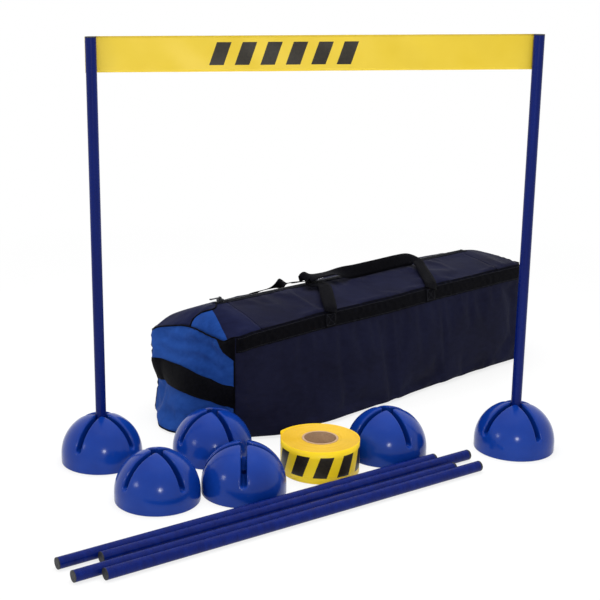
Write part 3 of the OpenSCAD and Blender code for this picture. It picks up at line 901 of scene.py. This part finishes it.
CLOTH = {"quality": 7, "mass": 0.15, "tension_stiffness": 18, "compression_stiffness": 18,
         "shear_stiffness": 6, "bending_stiffness": 0.35, "use_pressure": True,
         "uniform_pressure_force": 1.2, "shrink_min": -0.035, "vertex_group_mass": "held"}
CLOTH_STEPS, CLOTH_GRAVITY = 25, 0.25
FOLD, FOLD_PITCH = 0.0055, 0.037  # the slack folds under the left end's top seam


def hold(cloth, box, ends):
    """Holds the cloth at its seams, its underside, its band and its zip."""
    sides = np.minimum(box[:, 1], BAG_W - box[:, 1])
    level = np.minimum(box[:, 2], BAG_H - box[:, 2])
    edge = np.sort(np.stack([ends, sides, level]), axis=0)[1]  # distance to the nearest edge
    on_band = (sides < 1e-6) & (box[:, 2] > BAND_LOW - 0.008)
    on_zip = (box[:, 2] > BAG_H - 1e-6) & (ends > 0.05)
    held = np.maximum.reduce([
        np.clip(1 - edge / 0.012, 0, 1) * 0.85,
        (box[:, 2] < 1e-6) * 1.0,
        on_band * 0.9,
        on_zip * np.clip(1.35 - np.abs(box[:, 1] - ZIP_B) / 0.022, 0, 1),
    ])
    group = cloth.vertex_groups.new(name="held")
    for i, weight in enumerate(held):
        if weight > 0:
            group.add([i], float(weight), "REPLACE")


def simulated(cloth, count):
    """The cloth's points after its simulation."""
    made = modifier(cloth, "CLOTH")
    for key, value in CLOTH.items():
        setattr(made.settings, key, value)
    made.settings.effector_weights.gravity = CLOTH_GRAVITY
    made.collision_settings.use_collision = False
    for step in range(1, CLOTH_STEPS + 1):
        bpy.context.scene.frame_set(step)
    after = np.empty(count * 3, np.float32)
    done = cloth.evaluated_get(bpy.context.evaluated_depsgraph_get()).to_mesh()
    done.vertices.foreach_get("co", after)
    bpy.context.scene.frame_set(1)
    return after.reshape(-1, 3)


def settle(lattice):
    """Lets the bag's cloth swell and crease, each point by no more than its cap."""
    faces = np.vstack([lattice.faces(side) for side in lattice.sides])
    cloth = mesh_object("settling", lattice.at, faces, None)
    cloth.data.materials.clear()
    box = lattice.box
    ends = np.minimum(box[:, 0], BAG_L - box[:, 0])
    hold(cloth, box, ends)
    shift = simulated(cloth, len(box)) - lattice.at
    bpy.data.objects.remove(cloth)
    size = np.linalg.norm(shift, axis=1, keepdims=True)
    near_base = hill(box[:, 0], 0.0, 0.22) * hill(box[:, 1], 0.0, 0.22)
    over = 0.0025 + 0.0025 * smooth_step(ends, 0.06, 0.12)
    beside = (0.009 - 0.004 * hill(box[:, 0], BAG_L, 0.05)) * (1 - 0.7 * near_base)
    cap = np.where(box[:, 2] > BAG_H - 1e-6, over, beside)[:, None]
    lattice.at = lattice.at + shift * np.minimum(1, cap / np.maximum(size, 1e-9))
    at_left = (hill(box[:, 0], 0.0, 0.02) * smooth_step(box[:, 2], 0.175, 0.205)
               * smooth_step(BAG_H - box[:, 2], 0.004, 0.03)
               * arch(np.minimum(box[:, 1] / BAG_W, 0.999), 0.6))
    wave = box[:, 2] - 0.22 * box[:, 1] - 0.02 * np.sin(22 * box[:, 1])
    lattice.at[:, 0] -= FOLD * at_left * np.sin(2 * np.pi * wave / FOLD_PITCH)
    lattice.at[:, 2] = np.maximum(lattice.at[:, 2], 0.0004)


def panel(name, lattice, faces, material, node, body="bag"):
    """One cut of cloth, from faces of the lattice, lined and rounded."""
    used, inverse = np.unique(faces, return_inverse=True)
    piece = mesh_object(name, bag_to_row(lattice.at[used]), inverse.reshape(-1, 4), material)
    modifier(piece, "SUBSURF", levels=1, render_levels=1)
    modifier(piece, "SOLIDIFY", thickness=0.0011, offset=-1.0)
    if node is not None:
        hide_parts(node)
    if body is not None:
        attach(piece, body)
    return piece


def laid(name, place, u, v, thick, material, body):
    """A flat strip on the bag. place(u, v, lift) gives its points at a height over the cloth."""
    u, v = np.meshgrid(u, v, indexing="ij")
    rows, cols = u.shape
    edge = np.ones(u.shape)
    edge[:, [0, -1]] = 0.35
    under, _ = place(u, v, 0.0004)
    over, _ = place(u, v, 0.0004 + thick * edge)
    points = np.vstack([under.reshape(-1, 3), over.reshape(-1, 3)])
    piece = mesh_object(name, points, slab_faces(rows, cols), material)
    recalculate(piece)
    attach(piece, body)
    return piece


STITCH_HIGH = 0.0004


def dashes(name, starts, ends, sides, width, material, body):
    """Stitches: a low ridge from each start to each end."""
    up = unit(np.cross(unit(ends - starts), sides))
    corners = [base + sides * s * width + up * t * STITCH_HIGH for base in (starts, ends)
               for s, t in ((-0.5, 0), (0.5, 0), (0.3, 1), (-0.3, 1))]
    piece = blocks(name, np.stack(corners, 1), material, smooth=False)
    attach(piece, body)


# ---- Holdall: seams, webbing and zip ----

BAND_LOW, BAND_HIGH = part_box("front_band")[0].z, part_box("front_band")[1].z
GRAB_LOW, GRAB_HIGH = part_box("left_grab_strap")[0].z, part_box("left_grab_strap")[1].z
BAND_END = 0.008  # the band's ends, from the bag's ends
GRAB_AT = [0, 0.06, 0.13, 0.19, 0.29]  # across the left end, and how much its strap rides up there
GRAB_RISE = [-0.008, 0.014, 0.020, 0.020, 0.023]
CORNER_LOW, CORNER_SLOPE, CORNER_W = 0.216, 1.12, 0.058  # the webbing on the left end's top corner
WEB_THICK = 0.0018
HANDLE_POINTS = node_points("front_handle") @ ALONG - BAG_A0
HANDLE_W = 0.038
LEGS = HANDLE_POINTS.min() + HANDLE_W / 2, HANDLE_POINTS.max() - HANDLE_W / 2
HINGE_OUT = -(np.array(HINGE["pos_m"]) @ ACROSS - BAG_B0)  # the hinge line, off the front


# The seam from the zip's left end down the cap, along the bag and across it, and the lit blue part
# in front of it: inside every line p * a + q * b < r. Outside that part the cap's blue cloth is
# painted navy as shade.
CAP_SEAM = [(0.0680, 0.152), (0.0600, 0.138), (0.0480, 0.128), (0.0370, 0.136), (0.0270, 0.156),
            (0.0210, 0.166), (0.0130, 0.171), (0.0060, 0.168), (0.0004, 0.165)]
LIT_CAP_LINES = [(1.0, -0.316, -0.0069), (0.0, 1.0, 0.167), (1.69, 1.0, 0.186)]


def lit_cap_mask(s):
    """One over the lit front of the left cap; elsewhere its blue cloth is painted navy as shade."""
    x, y, _ = s.axes(s.moved(turn=(0, 0, -BAG_TURN)))
    a = s.maths("SUBTRACT", x, float(BAG_A0))
    b = s.maths("SUBTRACT", y, float(BAG_B0))
    return s.times(*(s.maths("LESS_THAN", s.maths("ADD", s.times(a, p), s.times(b, q)), r)
                     for p, q, r in LIT_CAP_LINES))


def make_panels(lattice, navy, blue, cap):
    """The cuts of cloth, sewn at the bag's seams."""
    left_cap = lattice.faces("top", lambda u, v: u < BAG_END)
    right_cap = lattice.faces("top", lambda u, v: u > BAG_L - BAG_END)

    def flap(near):
        return lambda u, v: (u > BAG_END) & (u < BAG_L - BAG_END) & ((v < ZIP_B) == near)

    for name, faces, material, node, slot in (
            ("floor", lattice.faces("floor"), navy, "bag_base", "fabric_navy"),
            ("front", lattice.faces("front"), navy, "bag_front", "fabric_navy"),
            ("back", lattice.faces("back"), navy, "bag_back", "fabric_navy"),
            ("left", lattice.faces("left"), blue, "bag_left_end", "fabric_blue"),
            # The left cap is blue cloth painted navy as shade, except on its lit front part
            ("left_cap", left_cap, cap, None, "fabric_blue"),
            ("right", lattice.faces("right"), blue, "bag_right_end", "fabric_blue"),
            ("right_cap", right_cap, navy, None, "fabric_navy")):
        panel(f"bag_{name}_cloth", lattice, faces, material, node)
    for side, near, low_b, high_b in (("front", True, 0.0, 0.03), ("back", False, BAG_W, BAG_W - 0.03)):
        cloth = panel(f"bag_{side}_flap_cloth", lattice, lattice.faces("top", flap(near)), navy,
                      f"bag_{side}_flap", body=None)
        ends = [bag_to_row((BAG_L / 2, b, BAG_H)).tolist() for b in (low_b, high_b)]
        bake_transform(cloth, "bag", f"{side}_flap", start=ends[0], end=ends[1])


def make_piping(lattice, material):
    """Bound seams round the two ends, over the left cap and along the upper edges."""
    rim = border(len(lattice.z), len(lattice.b))
    round_b, round_z = lattice.b[rim % len(lattice.b)], lattice.z[rim // len(lattice.b)]
    seams = []
    for side in ("left", "right"):
        line, _ = lattice.on(side, round_b, round_z, 0.0006)
        line[:, 2] = np.maximum(line[:, 2], 0.0022)
        seams.append(tube(f"bag_{side}_end_piping", line, 0.0020, material, closed=True))
    path = spline(CAP_SEAM, 60)
    line, _ = lattice.on("top", path[:, 0], path[:, 1], 0.0004)
    seams.append(tube("bag_left_cap_seam", line, 0.0022, material))
    for side in ("front", "back"):
        line, _ = lattice.on(side, lattice.a, BAG_H, 0.0004)
        seams.append(tube(f"bag_{side}_seam", line, 0.0013, material))
    for seam in seams:
        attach(seam, "bag")


def make_webbing(lattice, material, thread):
    """The bands, the handles' sewn legs, the grab straps and their stitching."""
    share = np.linspace(0, 1, 7)
    for side in ("front", "back"):
        along = np.linspace(BAND_END, BAG_L - BAND_END, 180)
        high = BAND_LOW + share * (BAND_HIGH - BAND_LOW)
        band = laid(f"{side}_band_web", lambda u, v, lift, s=side: lattice.on(s, u, v, lift),
                    along, high, WEB_THICK, material, "bag")
        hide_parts(f"{side}_band")
        for number, leg in enumerate(LEGS, 1):
            across = np.linspace(leg - HANDLE_W / 2, leg + HANDLE_W / 2, 7)
            patch = np.linspace(BAND_LOW + 0.001, BAND_HIGH - 0.001, 7)
            laid(f"{side}_leg_{number}",
                 lambda u, v, lift, s=side: lattice.on(s, u, v, lift + WEB_THICK),
                 across, patch, WEB_THICK, material, "bag")
            stitch_box(f"{side}_leg_{number}_stitches", lattice, side, leg, thread)
        starts, ends, sides = [], [], []
        for row in (BAND_LOW + 0.0035, BAND_HIGH - 0.0035):
            at = np.arange(BAND_END + 0.006, BAG_L - BAND_END - 0.006, 0.0052)
            one, normal = lattice.on(side, at, row, 0.0004 + WEB_THICK)
            two, _ = lattice.on(side, at + 0.0034, row, 0.0004 + WEB_THICK)
            starts.append(one)
            ends.append(two)
            sides.append(unit(np.cross(normal, unit(two - one))))
        dashes(f"{side}_band_stitches", np.vstack(starts), np.vstack(ends), np.vstack(sides),
               0.0009, thread, "bag")
    for side in ("left", "right"):
        def bowed(u, v, lift, s=side):
            v = v + 0.012 * (v - GRAB_LOW) / (GRAB_HIGH - GRAB_LOW) * (0.9 + 2.5 * u)
            v = v + (s == "left") * np.interp(u, GRAB_AT, GRAB_RISE)
            bow = 0.0045 * np.sin(np.pi * np.clip((u - 0.03) / (BAG_W - 0.06), 0, 1)) ** 2
            return lattice.on(s, u, v, lift + bow)

        grab = laid(f"{side}_grab_web", bowed, np.linspace(0.002, BAG_W - 0.002, 48),
                    np.linspace(GRAB_LOW, GRAB_HIGH, 7), WEB_THICK, material, "bag")
        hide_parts(f"{side}_grab_strap")

    def corner(u, v, lift):
        low = CORNER_LOW + CORNER_SLOPE * u
        return lattice.on("left", u, low + v * (BAG_H - 0.001 - low), lift)

    laid("left_band_corner", corner, np.linspace(0.0006, CORNER_W, 14), np.linspace(0, 1, 8),
         0.0010, material, "bag")


def stitch_box(name, lattice, side, leg, thread):
    """A sewn square with a cross in it, on a handle's leg."""
    w, low, high = HANDLE_W / 2 - 0.005, BAND_LOW + 0.006, BAND_HIGH - 0.006
    corners = [(leg - w, low), (leg + w, low), (leg + w, high), (leg - w, high)]
    lines = [(0, 1), (1, 2), (2, 3), (3, 0), (0, 2), (1, 3)]
    starts, ends = [], []
    for i, j in lines:
        one, two = np.array(corners[i]), np.array(corners[j])
        count = int(np.linalg.norm(two - one) / 0.0042)
        t = np.arange(count)[:, None] / count
        starts.append(one + (two - one) * t)
        ends.append(one + (two - one) * (t + 0.68 / count))
    starts, ends = np.vstack(starts), np.vstack(ends)
    one, normal = lattice.on(side, starts[:, 0], starts[:, 1], 0.0004 + 2 * WEB_THICK)
    two, _ = lattice.on(side, ends[:, 0], ends[:, 1], 0.0004 + 2 * WEB_THICK)
    dashes(name, one, two, unit(np.cross(normal, unit(two - one))), 0.0010, thread, "bag")


# A handle's line: along the bag from its first leg, in from its hinge line, and height, in
# millimetres; then how far the webbing is turned from lying along the bag, as its legs do, and
# tilted on edge
FRONT_HANDLE = [
    (0, 0, 284, 0, 0), (8, 13, 297, 0, 0), (34, 51.5, 311, 0, 0), (62, 90, 321, 0.1, 0),
    (72, 112, 324, 0.5, 0.05), (60, 128, 326, 0.9, 0.15), (42, 134, 330, 1, 0.3),
    (31, 138, 337, 1, 0.45), (42, 140.5, 343, 1, 0.45), (68, 140.5, 341, 1, 0.1),
    (96, 140, 341, 1, 0), (130, 139, 341, 1, 0.02), (160, 137.5, 338, 1, 0.3),
    (200, 134.5, 334, 1, 0.75), (260, 132.5, 335, 1, 0.85), (320, 132.5, 336, 1, 0.85),
    (380, 132.5, 337, 1, 0.8), (425, 131, 336, 0.9, 0.6), (442, 118, 332, 0.5, 0.3),
    (436, 97, 326, 0.2, 0.1), (416, 56.5, 311, 0, 0), (394, 18, 298, 0, 0), (380, 0, 284, 0, 0),
]
BACK_HANDLE = [
    (0, 0.5, 254, 0, 0), (0, 3, 264, 0, 0), (1, 12, 271, 0, 0), (2, 30, 279, 0, 0),
    (3, 60, 290, 0, 0), (6, 90, 301, 0.2, 0.05), (26, 115, 314, 0.8, 0.2), (46, 123, 316, 1, 0.2),
    (70, 114, 311, 1, 0.2), (90, 100, 305, 1, 0.2), (140, 95, 303, 1, 0.2), (200, 95, 303, 1, 0.2),
    (270, 105, 308, 1, 0.2), (330, 118, 314, 0.9, 0.2), (362, 114, 314, 0.7, 0.15),
    (376, 95, 306, 0.3, 0.05), (379, 60, 291, 0, 0), (380, 30, 280, 0, 0), (380, 12, 272, 0, 0),
    (380, 3, 264, 0, 0), (380, 0.5, 254, 0, 0),
]


def make_handle(side, knots, material):
    """A limp loop of webbing, drawn from one leg over the top of the bag and back."""
    knots = np.array(knots) * [MM, MM, MM, 1, 1]
    knots[:, 0] = LEGS[0] + knots[:, 0] * (LEGS[1] - LEGS[0]) / knots[-1, 0]
    knots[:, 1] -= HINGE_OUT
    line = spline(knots, 260)
    turned, tilted = line[:, 3] * math.pi / 2, line[:, 4] * math.pi / 2
    across = np.stack([np.cos(turned), np.sin(turned) * np.cos(tilted),
                       np.sin(turned) * np.sin(tilted)], 1)
    across, points = smooth_rows(across, 7), line[:, :3]
    if side == "back":
        points = points * [1, -1, 1] + [0, BAG_W, 0]
        across = across * [1, -1, 1]
    piece = strap(f"{side}_handle_web", bag_to_row(points), bag_way(across), HANDLE_W, WEB_THICK,
                  material)
    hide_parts(f"{side}_handle")
    if side == "front":
        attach(piece, "front_handle")
        return
    roots = [bag_to_row((BAG_L / 2, BAG_W + b, z)).tolist()
             for b, z in ((0.006, 0.256), (-0.016, 0.276))]
    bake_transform(piece, "back_flap", "back_handle", start=roots[0], end=roots[1])


def smooth_rows(rows, width):
    """Each row averaged with its neighbours, as directions."""
    kernel = np.hanning(width + 2)[1:-1]
    kernel = kernel / kernel.sum()
    padded = np.vstack([rows[:1]] * (width // 2) + [rows] + [rows[-1:]] * (width // 2))
    return unit(np.stack([np.convolve(column, kernel, "valid") for column in padded.T], 1))


ZIP_TAPE_W = 0.0145
COIL_PITCH = 0.0024


def make_zip(lattice, cloth, coil):
    """Each half of the zip on its flap, and the closed ends on the bag."""
    low = (node_points("zip_ends") @ ALONG).min() - BAG_A0
    spans = {"front_zip": (BAG_END + 0.0008, BAG_L - BAG_END - 0.0008, (-1,), "front_flap"),
             "back_zip": (BAG_END + 0.0008, BAG_L - BAG_END - 0.0008, (1,), "back_flap"),
             "left_zip_end": (low, BAG_END, (-1, 1), "bag"),
             "right_zip_end": (BAG_L - BAG_END, BAG_L - low, (-1, 1), "bag")}
    shown = set()
    for name, (start, end, halves, body) in spans.items():
        for half in halves:
            tag = f"{name}_{'front' if half < 0 else 'back'}" if len(halves) > 1 else name
            across = ZIP_B + half * np.linspace(0.0008, ZIP_TAPE_W, 5)
            along = np.linspace(start, end, max(4, int((end - start) / 0.012)))
            tape = laid(f"{tag}_tape", lambda u, v, lift: lattice.on("top", u, v, lift),
                        along, across, 0.0008, cloth, body)
            teeth = zip_teeth(f"{tag}_coil", start, end, half, coil)
            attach(teeth, body)
            node = name if len(halves) == 1 else "zip_ends"
            if node not in shown:
                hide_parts(node)
                shown.add(node)
    for end, way in ((low, 1), (BAG_L - low, -1)):
        a = end + way * 0.0015
        box = np.array([(x, y, z) for x in (-0.0015, 0.0015) for y, z in (
            (-0.0042, 0.0009), (0.0042, 0.0009), (0.0042, 0.0030), (-0.0042, 0.0030))])
        corners = bag_to_row(box + [a, ZIP_B, CREST])[None]
        stop = blocks("zip_stop_left" if way > 0 else "zip_stop_right", corners, coil)
        modifier(stop, "BEVEL", width=0.0005, segments=2)
        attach(stop, "bag")


def zip_teeth(name, start, end, half, material):
    """The coil's turns, each a small rounded bar across one side of the zip."""
    at = np.arange(start + COIL_PITCH / 2, end - COIL_PITCH / 2, COIL_PITCH)
    shape = [(-0.32, 0.0, 0.0), (0.32, 0.0, 0.0), (0.30, 0.75, 0.0), (-0.30, 0.75, 0.0),
             (-0.24, 0.08, 1.0), (0.24, 0.08, 1.0), (0.22, 0.70, 1.0), (-0.22, 0.70, 1.0)]
    reach, tall = 0.0030, 0.0016
    shape = np.array(shape) * [COIL_PITCH, half * reach, tall]
    base = np.stack([at, np.full(len(at), ZIP_B + half * 0.0004),
                     np.full(len(at), CREST + 0.0010)], 1)
    return blocks(name, bag_to_row(base[:, None] + shape[None]), material)


def make_bag():
    lattice = Lattice()
    settle(lattice)
    navies = srgb(14, 14, 30), srgb(29, 31, 53)
    blues = srgb(17, 50, 113), srgb(42, 82, 160)
    navy, blue = woven("fabric_navy", *navies), woven("fabric_blue", *blues)
    # The left cap: its blue cloth painted navy as shade, blue only on its lit front part
    cap = woven("fabric_cap_painted_shade", srgb(13, 15, 38), srgb(28, 32, 62), inset=(lit_cap_mask, *blues))
    black = webbing()
    thread, zip_black, coil = sewing_thread(), zip_cloth(), zip_coil()
    make_panels(lattice, navy, blue, cap)
    make_piping(lattice, black)
    make_webbing(lattice, black, thread)
    make_handle("front", FRONT_HANDLE, black)
    make_handle("back", BACK_HANDLE, black)
    make_zip(lattice, zip_black, coil)
    metal = dark_metal()
    for name in ("zip_slider", "zip_pull"):
        dress(name, metal)


# ---- The stage ----

WORLD_LEVEL = 0.5


def seen_ray(s):
    """One for rays by which the floor or the world is seen, direct or mirrored."""
    rays = s.add("ShaderNodeLightPath").outputs
    return s.maths("MAXIMUM", rays["Is Camera Ray"], s.maths(
        "MAXIMUM", rays["Is Glossy Ray"], rays["Is Transmission Ray"]))


def make_stage():
    s = Shade("floor", Roughness=0.9)
    s.shader.inputs["Base Color"].default_value = (0.90, 0.90, 0.90, 1)
    glow = s.add("ShaderNodeEmission", {"Color": (1, 1, 1, 1), "Strength": 1.0})
    away = s.add("ShaderNodeVectorMath", {0: s.place}, operation="LENGTH").outputs["Value"]
    white = s.maths("MULTIPLY", seen_ray(s), s.level(away, 1.0, 2.6, 0.78, 1.0))
    blend = s.add("ShaderNodeMixShader", {0: white, 1: s.shader.outputs[0], 2: glow.outputs[0]})
    out = next(n for n in s.tree.nodes if n.type == "OUTPUT_MATERIAL")
    s.tree.links.new(blend.outputs[0], out.inputs["Surface"])
    reach = 14.0
    corners = [(-reach, -reach, 0), (reach, -reach, 0), (reach, reach, 0), (-reach, reach, 0)]
    floor = mesh_object("floor", corners, [(0, 1, 2, 3)], s.material, smooth=False)
    floor.location = (0.5, 0.2, -0.0006)

    world = bpy.data.worlds.new("studio")
    bpy.context.scene.world = world
    world.use_nodes = True
    back = world.node_tree.nodes["Background"]
    back.inputs["Color"].default_value = (1, 1, 1, 1)
    s.tree = world.node_tree
    s.tree.links.new(s.level(seen_ray(s), 0, 1, WORLD_LEVEL, 1.0), back.inputs["Strength"])


def soft_light(name, at, aim, size, power, mirrored=True):
    data = bpy.data.lights.new(name, "AREA")
    data.shape, data.size, data.energy = "DISK", size, power
    lamp = bpy.data.objects.new(name, data)
    lamp.visible_glossy = mirrored
    lamp.location = at
    lamp.rotation_euler = (Vector(aim) - Vector(at)).to_track_quat("-Z", "Y").to_euler()
    bpy.context.scene.collection.objects.link(lamp)


def make_lights():
    middle = (0.5, 0.2, 0.2)
    soft_light("overhead", (0.5, 0.3, 3.2), middle, 3.4, 105, mirrored=False)
    soft_light("key", (0.5, -3.6, 1.5), middle, 0.45, 26)
    soft_light("left", (-3.0, -1.6, 1.6), middle, 0.6, 14)


# ---- Putting it together ----


def main():
    make_camera()
    make_stage()
    make_lights()
    moulding = moulded_plastic()
    make_bases(moulding)
    pole_paint, plug_black = painted_tube(), plug_rubber()
    for name in frame["nodes"]:
        if name.endswith("_plugs"):
            dress(name, plug_black)
        elif "post" in name or "spare_pole" in name:
            dress(name, pole_paint)
    yellow = srgb(234, 204, 62), srgb(226, 194, 44)
    make_tape(printed_tape("tape_film", tape_bars, *yellow))
    make_roll(printed_tape("roll_film", roll_bars, srgb(240, 198, 66), srgb(228, 184, 46), roll_rings),
              printed_tape("roll_side_film", roll_bars, srgb(255, 224, 34), srgb(250, 210, 24)))
    dress("roll_core", card_core())
    make_bag()
    bpy.context.scene.view_settings.view_transform = "Standard"


main()
